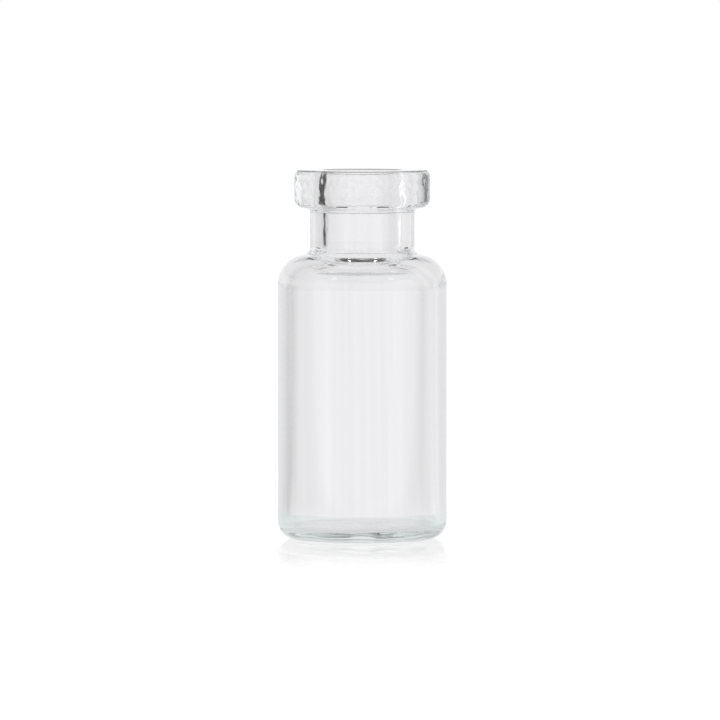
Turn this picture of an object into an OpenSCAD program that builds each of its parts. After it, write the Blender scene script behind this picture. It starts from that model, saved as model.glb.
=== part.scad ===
// Small glass sample vial with a crimp neck, formed from one length of tube and open at the mouth.
// It stands on its base ring at z = 0, with its axis on Z. Sizes are in millimetres.

/* [Body] */
// Overall height, from the base ring to the sealing top
vial_h = 35; // [30:1:60]
// Outside diameter of the body
body_d = 16; // [15:0.5:22]
// Thickness of the body's wall
wall_t = 1; // [0.8:0.1:1.3]
// Outside radius of the shoulder
shoulder_r = 2.8; // [2.4:0.1:3.2]
// Inside radius of the shoulder
shoulder_in_r = 2.5; // [2:0.1:2.8]
// Thickness of the glass over the shoulder, under the neck
roof_t = 0.85; // [0.7:0.05:1.1]

/* [Base] */
// Outside radius of the heel, where the wall turns into the base
heel_r = 1.7; // [1.2:0.1:2.4]
// Inside radius of the heel
heel_in_r = 0.4; // [0.3:0.1:1.2]
// Thickness of the glass at the middle of the base
base_t = 1.2; // [0.7:0.1:1.6]
// Rise of the pushed-up middle of the base above the ring that it stands on
push_up = 0.1; // [0.05:0.05:0.4]
// Rise of the hollow's floor from the wall to the middle
floor_rise = 0.1; // [0.05:0.05:0.4]
// Width of the flat ring that it stands on
ring_w = 1; // [0.5:0.1:1.6]

/* [Neck] */
// Outside diameter of the neck
neck_d = 9.9; // [9.4:0.1:10.5]
// Bore of the neck, straight from the mouth to the throat
bore_d = 7; // [6.4:0.1:7.4]
// Height of neck and flange, from the top of the shoulder to the sealing top
finish_h = 8; // [7:0.5:12]
// Radius of the bend where the neck meets the shoulder
neck_bend_r = 0.7; // [0.4:0.1:1]
// Radius of the throat, where the bore opens into the body
throat_r = 2.2; // [1.6:0.1:2.6]

/* [Flange] */
// Diameter of the crimp flange
flange_d = 12.9; // [12.6:0.1:13.2]
// Height of the flange at its rim
flange_h = 3.5; // [3:0.1:4]
// Slope of the flange's underside, down towards the neck, in degrees
underside_slope = 8; // [0:1:15]
// Radius of the flange's lower edge
lip_r = 0.9; // [0.5:0.1:1]
// Radius of the flange's upper edge
rim_r = 0.6; // [0.3:0.1:0.9]
// Radius of the bend where the underside meets the neck
collar_bend_r = 0.4; // [0.2:0.1:0.6]
// Radius of the bore's edge at the mouth
mouth_r = 0.4; // [0.2:0.1:0.6]

/* [Hidden] */

// Arcs are this much larger than stated, so that they cross the lines that they would only touch
bite = 0.0002;

// Facets of a whole circle: 32, or more on a large one, of which only a short arc is used
function facets(r) = max(32, 4 * ceil(2 * r));

body_r = body_d / 2;
inside_r = body_r - wall_t;
neck_r = neck_d / 2;
bore_r = bore_d / 2;
flange_r = flange_d / 2;

// Shoulder, one arc outside and one inside, each with its middle at this x and z
shoulder_x = body_r - shoulder_r;
shoulder_z = vial_h - finish_h - shoulder_r;
roof_z = vial_h - finish_h - roof_t;
roof_x = inside_r - shoulder_in_r;

// Neck bend and throat: each touches the wall of the neck and the arc of the shoulder.
// The angle is how far the bend turns, 90 degrees if it ends on a level top.
neck_bend_x = neck_r + neck_bend_r;
neck_reach = shoulder_r + neck_bend_r;
neck_bend_angle = acos(max(0, neck_bend_x - shoulder_x) / neck_reach);
neck_bend_z = shoulder_z + neck_reach * sin(neck_bend_angle);
throat_x = bore_r + throat_r;
throat_reach = shoulder_in_r + throat_r;
throat_angle = acos(max(0, throat_x - roof_x) / throat_reach);
throat_z = roof_z - shoulder_in_r + throat_reach * sin(throat_angle);

// Flange: the height of its underside falls in a straight line from the rim to the neck
function underside_z(x) = vial_h - flange_h - (flange_r - x) * tan(underside_slope);
lip_x = flange_r - lip_r;
lip_z = underside_z(lip_x) + lip_r / cos(underside_slope);
collar_bend_x = neck_r + collar_bend_r;
collar_bend_z = underside_z(collar_bend_x) - collar_bend_r / cos(underside_slope);

// Underside of the base: a dome, then an opposite bend with a third of the dome's radius,
// which ends level at the inner edge of the ring
ring_in_r = body_r - heel_r - ring_w;
push_reach = (ring_in_r ^ 2 + push_up ^ 2) / (2 * push_up);
push_bend_r = push_reach / 4;
dome_r = push_reach - push_bend_r;
dome_z = push_up - dome_r;
dome_angle = acos(ring_in_r / push_reach);

// Floor of the hollow: a low dome, floor_rise high over the inside's width, that runs out
// into the arc of the heel
floor_r = (inside_r ^ 2 + floor_rise ^ 2) / (2 * floor_rise);
floor_z = push_up + base_t - floor_r;
heel_in_x = inside_r - heel_in_r;
floor_angle = acos(heel_in_x / (floor_r + heel_in_r));
heel_in_z = floor_z + (floor_r + heel_in_r) * sin(floor_angle);

// What lies outside a circle, between two directions from its middle.
// Taken from an outline it rounds off a corner, and added to an outline it fills one.
module corner(x, z, r, from, to) {
    side = 1.5 * r;
    tip = side / cos((to - from) / 2);
    middle = (from + to) / 2;
    translate([x, z])
        difference() {
            polygon([
                [0, 0],
                side * [cos(from), sin(from)],
                tip * [cos(middle), sin(middle)],
                side * [cos(to), sin(to)]
            ]);
            circle(r = r + bite, $fn = facets(r));
        }
}

// Half section of the body's outside, with the shoulder, the heel and the push-up
module body_outline() {
    difference() {
        square([body_r, shoulder_z + shoulder_r]);
        corner(shoulder_x, shoulder_z, shoulder_r, 0, 90);
        corner(body_r - heel_r, heel_r, heel_r, -90, 0);
        corner(ring_in_r, push_bend_r, push_bend_r, 180 + dome_angle, 270);
        translate([0, dome_z])
            circle(r = dome_r, $fn = facets(dome_r));
    }
}

// Half section of the neck and its two bends
module neck_outline() {
    translate([0, shoulder_z])
        square([neck_r, vial_h - shoulder_z]);
    corner(neck_bend_x, neck_bend_z, neck_bend_r, 180, 180 + neck_bend_angle);
    corner(collar_bend_x, collar_bend_z, collar_bend_r, 90 + underside_slope, 180);
}

// Half section of the crimp flange
module flange_outline() {
    difference() {
        polygon([
            [0, underside_z(0)],
            [flange_r, underside_z(flange_r)],
            [flange_r, vial_h],
            [0, vial_h]
        ]);
        corner(lip_x, lip_z, lip_r, underside_slope - 90, 0);
        corner(flange_r - rim_r, vial_h - rim_r, rim_r, 0, 90);
    }
}

// Half section of the hollow: the body's inside, the throat, the bore and the mouth
module hollow_outline() {
    low_z = heel_in_z - 1.2 * heel_in_r;
    difference() {
        translate([0, low_z])
            square([inside_r, roof_z - low_z]);
        corner(roof_x, roof_z - shoulder_in_r, shoulder_in_r, 0, 90);
        corner(heel_in_x, heel_in_z, heel_in_r, -180 + floor_angle, 0);
        translate([0, floor_z])
            circle(r = floor_r, $fn = facets(floor_r));
    }
    translate([0, roof_z - 1])
        square([bore_r, finish_h + wall_t + 2]);
    corner(throat_x, throat_z, throat_r, 180, 180 + throat_angle);
    corner(bore_r + mouth_r, vial_h - mouth_r, mouth_r, 90, 180);
}

// The vial, one piece of clear glass
module vial() {
    color([0.8, 0.9, 0.88, 0.4])
        rotate_extrude($fn = 64)
            difference() {
                union() {
                    body_outline();
                    neck_outline();
                    flange_outline();
                }
                hollow_outline();
            }
}

vial();
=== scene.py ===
import math

import bpy
import numpy as np
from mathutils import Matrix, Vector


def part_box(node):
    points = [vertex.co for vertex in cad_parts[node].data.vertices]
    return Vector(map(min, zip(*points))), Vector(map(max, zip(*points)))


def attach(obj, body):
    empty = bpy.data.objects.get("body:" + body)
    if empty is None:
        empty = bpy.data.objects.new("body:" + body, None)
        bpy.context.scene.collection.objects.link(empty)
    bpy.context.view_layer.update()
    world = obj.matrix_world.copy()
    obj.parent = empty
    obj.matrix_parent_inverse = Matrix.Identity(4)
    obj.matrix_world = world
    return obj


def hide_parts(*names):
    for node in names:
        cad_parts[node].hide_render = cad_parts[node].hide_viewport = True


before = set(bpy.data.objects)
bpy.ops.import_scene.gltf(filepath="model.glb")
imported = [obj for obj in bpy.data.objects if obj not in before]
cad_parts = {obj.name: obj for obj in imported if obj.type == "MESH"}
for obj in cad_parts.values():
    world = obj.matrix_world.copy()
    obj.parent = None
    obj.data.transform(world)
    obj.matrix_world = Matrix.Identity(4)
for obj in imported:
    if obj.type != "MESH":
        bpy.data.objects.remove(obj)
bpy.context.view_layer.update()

mm = 0.001
plainWhite = (1, 1, 1, 1)
vialLow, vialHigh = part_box("vial")
vialHeight = vialHigh[2] / mm
bodyRadius = (vialHigh[0] - vialLow[0]) / 2 / mm


class Wire:  # one socket of a shader tree, which can be used in sums
    def __init__(self, tree, socket=None):
        self.tree = tree
        self.socket = socket

    # one node of any kind: its settings go in first, then the values or links of its sockets
    def node(self, kind, settings=None, sockets=None, out=0):
        made = self.tree.nodes.new(kind)
        for name, value in (settings or {}).items():
            if name == "stops":
                putStops(made.color_ramp, value)
            else:
                setattr(made, name, value)
        for name, value in (sockets or {}).items():
            if isinstance(value, Wire):
                self.tree.links.new(value.socket, made.inputs[name])
            else:
                made.inputs[name].default_value = value
        return Wire(self.tree, made.outputs[out] if len(made.outputs) else None)

    # several outputs of the node that this socket belongs to
    def outputs(self, *names):
        return [Wire(self.tree, self.socket.node.outputs[name]) for name in names]

    def math(self, operation, first, second=0.0):
        return self.node("ShaderNodeMath", {"operation": operation}, {0: first, 1: second})

    def __add__(self, other):
        return self.math("ADD", self, other)

    def __radd__(self, other):
        return self.math("ADD", other, self)

    def __sub__(self, other):
        return self.math("SUBTRACT", self, other)

    def __rsub__(self, other):
        return self.math("SUBTRACT", other, self)

    def __mul__(self, other):
        return self.math("MULTIPLY", self, other)

    def __rmul__(self, other):
        return self.math("MULTIPLY", other, self)

    def __truediv__(self, other):
        return self.math("DIVIDE", self, other)

    def __rtruediv__(self, other):
        return self.math("DIVIDE", other, self)


def putStops(ramp, stops):
    while len(ramp.elements) < len(stops):
        ramp.elements.new(0.5)
    for element, (place, colour) in zip(ramp.elements, stops):
        element.position = place
        element.color = colour


def newMaterial(name):
    made = bpy.data.materials.new(name)
    made.use_nodes = True
    made.node_tree.nodes.clear()
    return made, Wire(made.node_tree)


# a smooth passage from one value to another while the input runs between two limits
def smoothRange(value, start, end, low, high):
    return value.node("ShaderNodeMapRange", {"interpolation_type": "SMOOTHSTEP"}, {
        "Value": value,
        "From Min": start,
        "From Max": end,
        "To Min": low,
        "To Max": high,
    })


def mixColour(share, first, second):
    return share.node("ShaderNodeMix", {"data_type": "RGBA"}, {0: share, 6: first, 7: second}, 2)


def parts(vector):
    return vector.node("ShaderNodeSeparateXYZ", None, {0: vector}).outputs("X", "Y", "Z")


def newPiece(name, points, faces, smooth):
    mesh = bpy.data.meshes.new(name)
    mesh.from_pydata(points, [], faces)
    mesh.polygons.foreach_set("use_smooth", np.full(len(faces), smooth))
    mesh.update()
    piece = bpy.data.objects.new(name, mesh)
    bpy.context.scene.collection.objects.link(piece)
    return piece


# the vial's glass, all sizes in millimetres
vial = {
    "wall": 1.0,
    "roofThick": 0.85,
    "shoulder": 2.8,
    "shoulderInside": 2.5,
    "heel": 1.7,
    "heelInside": 0.4,
    "baseThick": 1.2,
    "floorRise": 0.1,
    "pushUp": 0.1,
    "pushBendShare": 0.25,  # the bend round the push-up, as a share of the push-up's own radius
    "ringWidth": 1.0,
    "neckRadius": 4.95,
    "boreRadius": 3.5,
    "finishHeight": 8.0,
    "neckBend": 0.7,
    "throat": 2.2,
    "flangeRadius": 6.45,
    "flangeHeight": 3.5,
    "undersideSlope": 8.0,  # degrees
    "lip": 0.9,
    "rim": 0.6,
    "collarBend": 0.4,
    "mouth": 0.4,
    # the mesh: faces round the vial, then the longest step along the section
    "around": 288,
    "arcStep": 0.14,
    "wideArc": 3,  # longer steps on the almost flat arcs, shorter ones on the tight arcs
    "tightArc": 0.5,
    "lineStep": 1.0,
    "fineStep": 0.2,  # on the straight stretches above the shoulder
    "fewestSteps": 5,  # on any arc
    "leastGap": 0.0001,
    # how far the surface ripples inwards, by height: base, body, shoulder, neck, flange
    "rippleDepth": [
        (0, 0), (2.5, 0.001), (26.2, 0.001), (27.2, 0.006), (28.5, 0.005), (31, 0.005),
        (31.8, 0.026), (35, 0.026),
    ],
    "rippleWaves": 40,
    "rippleSpread": 2.6,
    # each draw of waves: fewest and most round the vial, most turn for a millimetre of height, seed
    "outerRipples": (4, 60, 8, 31),
    "innerRipples": (4, 40, 8, 32),
    "floorRipples": (4, 6, 2, 5),
    # the hollow's floor, below this height: its ripples' depth and stretch, and its tilt
    "floorBelow": 2,
    "floorRipple": 0.03,
    "floorStretch": 3,
    "floorTilt": 0.011,
}


# points along a circle's arc: centre plus radius times (cosine, sine) of an angle
# that runs evenly between two directions in degrees
def arc(x, z, radius, start, end, step):
    turn = math.radians(end - start)
    count = max(vial["fewestSteps"], math.ceil(abs(turn) * radius / step))
    angle = math.radians(start) + turn * np.linspace(0, 1, count + 1)
    return np.stack([x + radius * np.cos(angle), z + radius * np.sin(angle)], 1)


# points along a straight stretch, without its two ends: the first end plus even shares of the
# way to the last one
def straight(first, last, step):
    way = last - first
    count = max(1, math.ceil(np.hypot(*way) / step))
    share = np.linspace(0, 1, count + 1)[1:-1, None]
    return first + way * share


# The glass section, from the axis under the base, round the outside, over the mouth and
# down the inside to the axis above the base: arcs that touch each other or a straight wall.
def glassSection(sizes):
    body, top = bodyRadius, vialHeight
    inside = body - sizes["wall"]
    slopeTurn = sizes["undersideSlope"]
    slope = math.radians(slopeTurn)

    # where the centres of the shoulder and of the neck's bend lie, and the angle where they touch
    roof = top - sizes["finishHeight"] - sizes["roofThick"]
    shoulder, neckBend = sizes["shoulder"], sizes["neckBend"]
    shoulderX = body - shoulder
    shoulderZ = top - sizes["finishHeight"] - shoulder
    reach = shoulder + neckBend
    bendX = sizes["neckRadius"] + neckBend
    bendAngle = math.acos(max(0, bendX - shoulderX) / reach)
    bendZ = shoulderZ + reach * math.sin(bendAngle)

    # the same inside, for the shoulder's hollow and the throat
    hollow, throat = sizes["shoulderInside"], sizes["throat"]
    roofX = inside - hollow
    throatX = sizes["boreRadius"] + throat
    throatReach = hollow + throat
    throatAngle = math.acos(max(0, throatX - roofX) / throatReach)
    throatZ = roof - hollow + throatReach * math.sin(throatAngle)

    # the flange's sloped underside, between the lip and the collar's bend
    flange, lip, collar = sizes["flangeRadius"], sizes["lip"], sizes["collarBend"]

    def undersideZ(x):
        return top - sizes["flangeHeight"] - (flange - x) * math.tan(slope)

    lipX = flange - lip
    lipZ = undersideZ(lipX) + lip / math.cos(slope)
    collarX = sizes["neckRadius"] + collar
    collarZ = undersideZ(collarX) - collar / math.cos(slope)

    # the push-up under the base and the risen floor above it
    heel, pushUp = sizes["heel"], sizes["pushUp"]
    ringIn = body - heel - sizes["ringWidth"]
    pushReach = (ringIn ** 2 + pushUp ** 2) / (2 * pushUp)
    pushBend = pushReach * sizes["pushBendShare"]
    dome = pushReach - pushBend
    domeTurn = math.degrees(math.acos(ringIn / pushReach))
    heelInside = sizes["heelInside"]
    floor = (inside ** 2 + sizes["floorRise"] ** 2) / (2 * sizes["floorRise"])
    floorZ = pushUp + sizes["baseThick"] - floor
    heelX = inside - heelInside
    floorAngle = math.acos(heelX / (floor + heelInside))
    heelZ = floorZ + (floor + heelInside) * math.sin(floorAngle)

    bendTurn = math.degrees(bendAngle)
    throatTurn = math.degrees(throatAngle)
    floorTurn = math.degrees(floorAngle)
    step = sizes["arcStep"]
    wide, tight = step * sizes["wideArc"], step * sizes["tightArc"]
    rim, mouth = sizes["rim"], sizes["mouth"]
    curves = [
        arc(0, pushUp - dome, dome, 90, domeTurn, wide),
        arc(ringIn, pushBend, pushBend, 180 + domeTurn, 270, step),
        arc(body - heel, heel, heel, -90, 0, step),
        arc(shoulderX, shoulderZ, shoulder, 0, bendTurn, step),
        arc(bendX, bendZ, neckBend, 180 + bendTurn, 180, step),
        arc(collarX, collarZ, collar, 180, 90 + slopeTurn, tight),
        arc(lipX, lipZ, lip, slopeTurn - 90, 0, step),
        arc(flange - rim, top - rim, rim, 0, 90, step),
        arc(sizes["boreRadius"] + mouth, top - mouth, mouth, 90, 180, tight),
        arc(throatX, throatZ, throat, 180, 180 + throatTurn, step),
        arc(roofX, roof - hollow, hollow, throatTurn, 0, step),
        arc(heelX, heelZ, heelInside, 0, floorTurn - 180, step),
        arc(0, floorZ, floor, floorTurn, 90, wide),
    ]
    points = [curves[0]]
    for before, after in zip(curves, curves[1:]):
        aboveShoulder = before[-1][1] > shoulderZ + shoulder
        longest = sizes["fineStep"] if aboveShoulder else sizes["lineStep"]
        points += [straight(before[-1], after[0], longest), after]
    points = np.concatenate(points)
    gap = np.hypot(*np.diff(points, axis=0).T)
    keep = np.concatenate([[True], gap > sizes["leastGap"]])
    return points[keep]


# Ripples from forming: the mean of many cosine waves over the angle and the height, each with
# its own count round the vial, turn for each millimetre of height and phase. It runs from 0 to 1.
def ripples(angle, height, sizes, drawn):
    fewestRound, mostRound, mostUp, seed = sizes[drawn]
    waves = sizes["rippleWaves"]
    chance = np.random.default_rng(seed)
    counts = chance.integers(fewestRound, mostRound, waves)
    rates = chance.uniform(-mostUp, mostUp, waves)
    phases = chance.uniform(0, 2 * math.pi, waves)
    total = np.zeros(np.broadcast(angle, height).shape)
    for count, rate, phase in zip(counts, rates, phases):
        total += np.cos(count * angle + rate * height + phase)
    return np.clip(0.5 + total / (sizes["rippleSpread"] * math.sqrt(waves)), 0, 1)


# A surface of revolution: x and y are the section's radius, less the ripples, times (cosine, sine)
# of the angle round the axis, and z is the section's height. Both ends lie on the axis and close
# to one point. The hollow's floor also dips by its own ripples and by its tilt times x.
def revolve(name, section, sizes):
    around = sizes["around"]
    radius, height = section[1:-1, 0], section[1:-1, 1]
    angle = np.linspace(0, 2 * math.pi, around, endpoint=False)
    inner = np.arange(len(radius)) > np.argmax(height)
    depth = np.interp(height, *zip(*sizes["rippleDepth"]))[:, None]
    outerWave = ripples(angle, height[:, None], sizes, "outerRipples")
    innerWave = ripples(angle, height[:, None], sizes, "innerRipples")
    radii = radius[:, None] - depth * np.where(inner[:, None], -innerWave, outerWave)
    x = radii * np.cos(angle)
    y = radii * np.sin(angle)
    onFloor = (inner & (height < sizes["floorBelow"]))[:, None]
    uneven = ripples(x / sizes["floorStretch"], y, sizes, "floorRipples")
    z = height[:, None] + onFloor * (sizes["floorTilt"] * x - sizes["floorRipple"] * uneven)
    rings = np.stack([x, y, z], 2).reshape(-1, 3)
    dip = sizes["floorRipple"] * ripples(0, 0, sizes, "floorRipples")
    poles = np.array([[0, 0, section[0, 1]], [0, 0, section[-1, 1] - dip]])
    points = np.concatenate([rings, poles]) * mm

    row = np.arange(len(radius) - 1)[:, None] * around
    here = np.arange(around)
    after = (here + 1) % around
    quads = np.stack([row + here, row + after, row + around + after, row + around + here], 2)
    lastRow = (len(radius) - 1) * around
    fanLow = np.stack([np.full(around, len(rings)), after, here], 1)
    fanHigh = np.stack([lastRow + here, lastRow + after, np.full(around, len(rings) + 1)], 1)
    faces = quads.reshape(-1, 4).tolist() + fanLow.tolist() + fanHigh.tolist()
    return newPiece(name, points.tolist(), faces, True)


# colours are linear, and heights and radii are in metres
glassLook = {
    "ior": 1.5,
    "tint": (0.6, 0.7, 0.67, 1),
    "tintDensity": 6.0,
    "clear": (1, 1, 1, 1),
    "bounces": 1024,  # light goes round in the base and the heel many times before it leaves
    "facingBlend": 0.5,
    # a tint on the band where the base meets the wall, deeper where the glass is seen edge on
    "bandMiddle": (0.875, 0.897, 0.893, 1),
    "bandEdge": (0.73, 0.85, 0.815, 1),
    "edgeFrom": 0.15,
    "edgeTo": 0.65,
    "bandTo": 0.00245,
    "bandEnd": 0.00262,
    # another tint below it, on the thick base
    "slabTint": (0.925, 0.985, 0.96, 1),
    "bandStart": 0.0009,
    "bandLow": 0.0013,
    # and a faint grey on the rest of the outside where it is seen edge on
    "wallEdge": (0.86, 0.865, 0.875, 1),
    "wallEdgeFrom": 0.45,
    "wallEdgeTo": 0.72,
    "wallTopFrom": 0.0215,
    "wallTopTo": 0.0272,
    # faint streaks, drawn out along the tube
    "streakScale": 2200.0,
    "streakDetail": 2.0,
    "streakStretch": 0.015,
    "streakDepth": 0.06,
    "streakMiddle": 0.25,
    # fine relief on the flange
    "textureScale": 2600.0,
    "textureDetail": 3.0,
    "textureFrom": 0.0312,
    "textureFade": 0.001,
    "textureDepth": 0.000004,
    # a share of painted shade on the mouth's edge and the flange's outer edge, above a height: a
    # dark, rough grey mixed into the glass
    "paintedEdgeShade": (0.06, 0.055, 0.065, 1),
    "mouthShare": 0.45,
    "mouthRough": 0.4,
    "mouthHeight": 0.03486,
    "mouthRadius": 0.0038,
    "rimRadius": 0.006,
}


def clearGlass(look):
    made, wires = newMaterial("clearGlass")
    place = wires.node("ShaderNodeTexCoord", None, None, "Object")
    x, y, z = parts(place)
    camera = wires.node("ShaderNodeLightPath", None, None, "Is Camera Ray")
    facing = wires.node("ShaderNodeLayerWeight", None, {"Blend": look["facingBlend"]}, "Facing")

    # the tints lie where the camera first meets the glass
    edgeOn = smoothRange(facing, look["edgeFrom"], look["edgeTo"], 0.0, 1.0)
    bandHue = mixColour(edgeOn, look["bandMiddle"], look["bandEdge"])
    above = smoothRange(z, look["bandStart"], look["bandLow"], 0.0, 1.0)
    bandHue = mixColour(above, look["slabTint"], bandHue)
    band = smoothRange(z, look["bandTo"], look["bandEnd"], 1.0, 0.0) * camera
    grey = smoothRange(facing, look["wallEdgeFrom"], look["wallEdgeTo"], 0.0, 1.0) * camera
    grey = grey * smoothRange(z, look["wallTopFrom"], look["wallTopTo"], 1.0, 0.0)
    colour = mixColour(band, mixColour(grey, look["clear"], look["wallEdge"]), bandHue)

    stretch = (1, 1, look["streakStretch"])
    streaks = wires.node("ShaderNodeTexNoise", None, {
        "Vector": wires.node("ShaderNodeMapping", None, {"Vector": place, "Scale": stretch}),
        "Scale": look["streakScale"],
        "Detail": look["streakDetail"],
    })
    shade = 1 - (streaks - look["streakMiddle"]) * look["streakDepth"]
    colour = wires.node("ShaderNodeVectorMath", {"operation": "SCALE"}, {0: colour, "Scale": shade})

    uneven = wires.node("ShaderNodeTexNoise", None, {
        "Vector": place,
        "Scale": look["textureScale"],
        "Detail": look["textureDetail"],
    })
    textureEnd = look["textureFrom"] + look["textureFade"]
    depth = smoothRange(z, look["textureFrom"], textureEnd, 0.0, look["textureDepth"])
    relief = wires.node("ShaderNodeBump", None, {"Height": uneven * depth, "Distance": 1.0})
    shader = wires.node("ShaderNodeBsdfPrincipled", None, {
        "Base Color": colour,
        "Normal": relief,
        "Roughness": 0.0,
        "IOR": look["ior"],
        "Transmission Weight": 1.0,
    })

    # painted shade: a share of dark rough grey on the mouth's edge and the flange's outer edge, above
    # a height
    radius = wires.math("SQRT", x * x + y * y)
    nearMouth = wires.math("LESS_THAN", radius, look["mouthRadius"])
    nearRim = wires.math("GREATER_THAN", radius, look["rimRadius"])
    edge = wires.math("GREATER_THAN", z, look["mouthHeight"]) * (nearMouth + nearRim)
    paintedShade = wires.node("ShaderNodeBsdfPrincipled", None, {
        "Base Color": look["paintedEdgeShade"],
        "Roughness": look["mouthRough"],
    })
    both = wires.node("ShaderNodeMixShader", None, {0: edge * look["mouthShare"], 1: shader, 2: paintedShade})
    absorbed = wires.node("ShaderNodeVolumeAbsorption", None, {
        "Color": look["tint"],
        "Density": look["tintDensity"],
    })
    wires.node("ShaderNodeOutputMaterial", None, {"Surface": both, "Volume": absorbed})
    return made


section = glassSection(vial)
glass = revolve("vialGlass", section, vial)
glass.data.materials.append(clearGlass(glassLook))
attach(glass, "root")
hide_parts("vial")
for kind in ("max", "transmission", "glossy"):
    setattr(bpy.context.scene.cycles, kind + "_bounces", glassLook["bounces"])
print("glass:", len(section), "points in the section,", len(glass.data.polygons), "faces")


# The room: a pale floor with a faint mirror image, a white surround and soft studio light.
studio = {
    "floorSize": 1.5,
    "floorColour": (0.1, 0.1, 0.1, 1),
    "floorLit": 0.03,
    # the floor's glow under the vial, kept low there as a painted contact shadow, and beside it, and
    # how far out it becomes the room's
    "paintedShadowUnderVial": 0.7,
    "besideVial": 0.87,
    "contactFrom": 0.006,
    "contactTo": 0.011,
    "roomFrom": 0.005,
    "roomTo": 0.06,
    "mirror": 0.65,
    "mirrorRough": 0.0,
    "mirrorIor": 1.45,
    "mirrorFrom": 0.022,
    "mirrorTo": 0.041,
    "air": (0.99, 0.985, 1.0, 1),
    "peak": 1.6,  # the most that a ramp by direction can hold
    # brightness round the vial by direction, in degrees from straight behind it, right positive
    "around": [
        (-180, 0.90), (-160, 0.60), (-145, 0.72), (-130, 0.94), (-115, 0.75), (-100, 0.55),
        (-80, 0.50), (-52, 0.60), (-46, 0.72), (-38, 0.72), (-25, 0.82), (-12, 0.83), (-7.5, 0.84),
        (-5.6, 0.885), (-4, 0.885), (-2.5, 0.865), (7.4, 0.87), (8.6, 0.82), (14, 0.81),
        (28, 0.78), (45, 0.86), (54, 0.78), (62, 1.10), (68, 0.98), (75, 0.70), (95, 0.75),
        (110, 0.88), (122, 1.15), (150, 1.04), (170, 1.15), (180, 0.90),
    ],
    # how high the bright wall reaches, as the tangent of its rise, by the same directions
    "wallTop": [(-180, 0.90), (-78, 0.90), (-66, 5.00), (47, 5.00), (60, 0.90), (180, 0.90)],
    "wallBlur": 0.15,
    "ceiling": 0.12,
    # two dark openings high at the back: their share by direction, and the tangents of their rise
    "openings": [
        (-180, 0), (-27, 0), (-24, 0.9), (-8, 0.9), (-5, 0), (5, 0), (8, 0.9), (24, 0.9), (27, 0),
        (180, 0),
    ],
    "openingFrom": 0.42,
    "openingTo": 0.64,
    "openingBlur": 0.03,
    # a dark card that stands at the left: what share of the room's light it leaves, by direction,
    # how high it reaches as the tangent of its rise, and where its painted image starts in the
    # floor's glow
    "card": [
        (-180, 1.0), (-77, 1.0), (-71, 0.35), (-67, 0.06), (-58, 0.06), (-53, 0.9), (-52, 1.0),
        (180, 1.0),
    ],
    "cardTop": 0.3,
    "cardBlur": 0.1,
    "cardFrom": 0.03,
    "cardTo": 0.12,
    "backTop": 0.2,  # how high the floor's mirror finds white
    # side lamps: degrees round the vial, rise in degrees, radius in degrees, brightness
    "lamps": [(-122, 50, 3.5, 2.5), (120, 50, 3.5, 2.5)],
}


# The room's value in a direction round the vial: the angle of x and y, then a ramp of values.
def byDirection(x, y, stops, peak=1.0):
    turn = x.math("ARCTAN2", x, y) / (2 * math.pi) + 0.5
    places = [((degrees + 180) / 360, [value / peak] * 3 + [1]) for degrees, value in stops]
    return x.node("ShaderNodeValToRGB", {"stops": places}, {0: turn}) * peak


def paleFloor(look):
    size = look["floorSize"]
    corners = [(-size, -size, 0), (size, -size, 0), (size, size, 0), (-size, size, 0)]
    piece = newPiece("floor", corners, [(0, 1, 2, 3)], False)
    made, wires = newMaterial("paleFloor")
    camera = wires.node("ShaderNodeLightPath", None, None, "Is Camera Ray")
    place = wires.node("ShaderNodeTexCoord", None, None, "Object")
    x, y = parts(place)[:2]
    distance = wires.node("ShaderNodeVectorMath", {"operation": "LENGTH"}, {0: place}, "Value")

    # white to the camera, and through the glass a painted glow of the room's own values, darker under
    # the vial as a painted shadow and where the dark card's image is painted
    # painted shadow: the floor's glow is lower under the vial than beside it
    under, beside = look["paintedShadowUnderVial"], look["besideVial"]
    near = smoothRange(distance, look["contactFrom"], look["contactTo"], under, beside)
    share = smoothRange(distance, look["roomFrom"], look["roomTo"], 0.0, 1.0)
    around = byDirection(x, y, look["around"], look["peak"])
    card = byDirection(x, y, look["card"])
    cardShare = smoothRange(distance, look["cardFrom"], look["cardTo"], 0.0, 1.0)
    level = (near * (1 - share) + around * share) * (1 - (1 - card) * cardShare)
    glow = level + camera * (1 - level) - look["floorLit"]
    hue = mixColour(camera, look["air"], plainWhite)
    lit = wires.node("ShaderNodeBsdfDiffuse", None, {"Color": look["floorColour"]})
    own = wires.node("ShaderNodeEmission", None, {"Color": hue, "Strength": glow})
    plain = wires.node("ShaderNodeAddShader", None, {0: lit, 1: own})

    shine = wires.node("ShaderNodeBsdfGlossy", None, {
        "Color": plainWhite,
        "Roughness": look["mirrorRough"],
    })
    fresnel = wires.node("ShaderNodeFresnel", None, {"IOR": look["mirrorIor"]})
    fade = smoothRange(distance, look["mirrorFrom"], look["mirrorTo"], look["mirror"], 0.0)
    both = wires.node("ShaderNodeMixShader", None, {0: fresnel * fade * camera, 1: plain, 2: shine})
    wires.node("ShaderNodeOutputMaterial", None, {"Surface": both})
    piece.data.materials.append(made)


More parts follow.
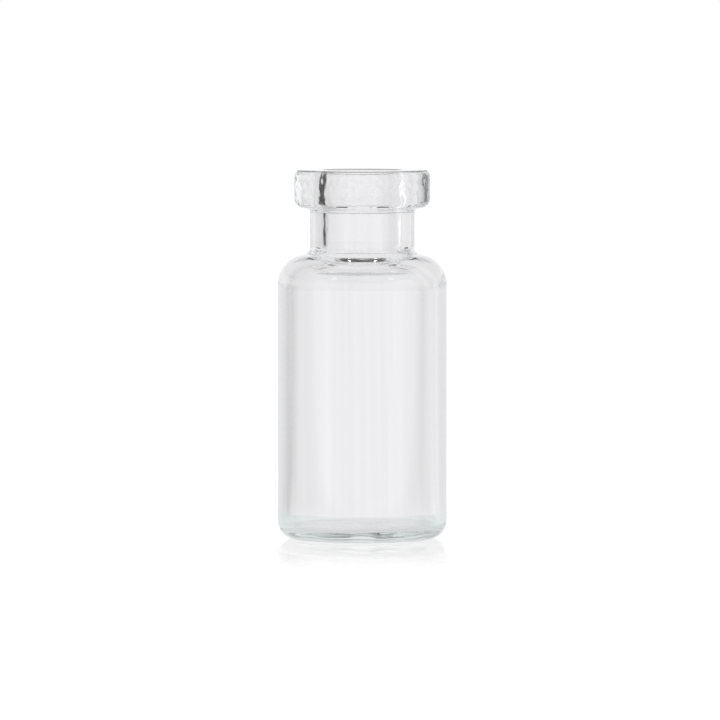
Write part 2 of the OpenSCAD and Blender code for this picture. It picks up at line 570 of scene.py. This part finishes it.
# White to the camera and in the floor's mirror, and the room's own values through the glass.
def softWorld(look):
    world = bpy.data.worlds.new("softWorld")
    bpy.context.scene.world = world
    world.use_nodes = True
    world.node_tree.nodes.clear()
    wires = Wire(world.node_tree)
    rays = ("Is Camera Ray", "Is Glossy Ray", "Is Transmission Ray")
    camera, glossy, through = wires.node("ShaderNodeLightPath").outputs(*rays)
    direction = wires.node("ShaderNodeTexCoord", None, None, "Generated")
    x, y, z = parts(direction)
    rise = z / wires.math("SQRT", x * x + y * y)

    # the bright wall under the ceiling, and the dark card in front of it
    blur = look["wallBlur"]
    top = byDirection(x, y, look["wallTop"], look["peak"])
    wall = smoothRange(rise - top, -blur, blur, 1.0, look["ceiling"])
    blur = look["cardBlur"]
    cardShare = smoothRange(rise - look["cardTop"], -blur, blur, 1.0, 0.0)
    card = byDirection(x, y, look["card"])
    level = byDirection(x, y, look["around"], look["peak"])
    level = level * wall * (1 - (1 - card) * cardShare)

    # the two openings
    blur, start, end = look["openingBlur"], look["openingFrom"], look["openingTo"]
    inside = smoothRange(rise, start - blur, start + blur, 0.0, 1.0)
    inside = inside * smoothRange(rise, end - blur, end + blur, 1.0, 0.0)
    level = level * (1 - byDirection(x, y, look["openings"]) * inside)

    for turn, climb, radius, brightness in look["lamps"]:
        turn, climb = math.radians(turn), math.radians(climb)
        flat = math.cos(climb)
        towards = (flat * math.sin(turn), flat * math.cos(turn), math.sin(climb))
        sockets = {0: direction, 1: towards}
        nearness = wires.node("ShaderNodeVectorMath", {"operation": "DOT_PRODUCT"}, sockets, "Value")
        spot = wires.math("GREATER_THAN", nearness, math.cos(math.radians(radius)))
        level = level + spot * brightness

    mirrored = glossy * (1 - through) * wires.math("LESS_THAN", z, look["backTop"])
    white = wires.math("MAXIMUM", camera, mirrored)
    strength = level * (1 - white)
    room = wires.node("ShaderNodeBackground", None, {"Color": look["air"], "Strength": strength})
    plain = wires.node("ShaderNodeBackground", None, {"Color": plainWhite, "Strength": white})
    sky = wires.node("ShaderNodeAddShader", None, {0: room, 1: plain})
    wires.node("ShaderNodeOutputWorld", None, {"Surface": sky})


paleFloor(studio)
softWorld(studio)
print("room: floor and world")


# the camera, a long lens a little above the vial
view = {
    "distance": 0.76,
    "rise": 2.9,  # degrees
    "widthAtVial": 0.0683,
    "aim": (-0.00021, 0, 0.01694),
    "sensorWidth": 36,
    "nearest": 0.01,
}


def placeCamera(look):
    data = bpy.data.cameras.new("camera")
    camera = bpy.data.objects.new("camera", data)
    bpy.context.scene.collection.objects.link(camera)
    distance, rise = look["distance"], math.radians(look["rise"])
    data.sensor_width = look["sensorWidth"]
    data.lens = look["sensorWidth"] * distance / look["widthAtVial"]
    data.clip_start = look["nearest"]
    x, y, z = look["aim"]
    camera.location = (x, y - distance * math.cos(rise), z + distance * math.sin(rise))
    camera.rotation_euler = (math.pi / 2 - rise, 0, 0)
    bpy.context.scene.camera = camera


placeCamera(view)
bpy.context.scene.view_settings.view_transform = "Standard"
print("camera placed")
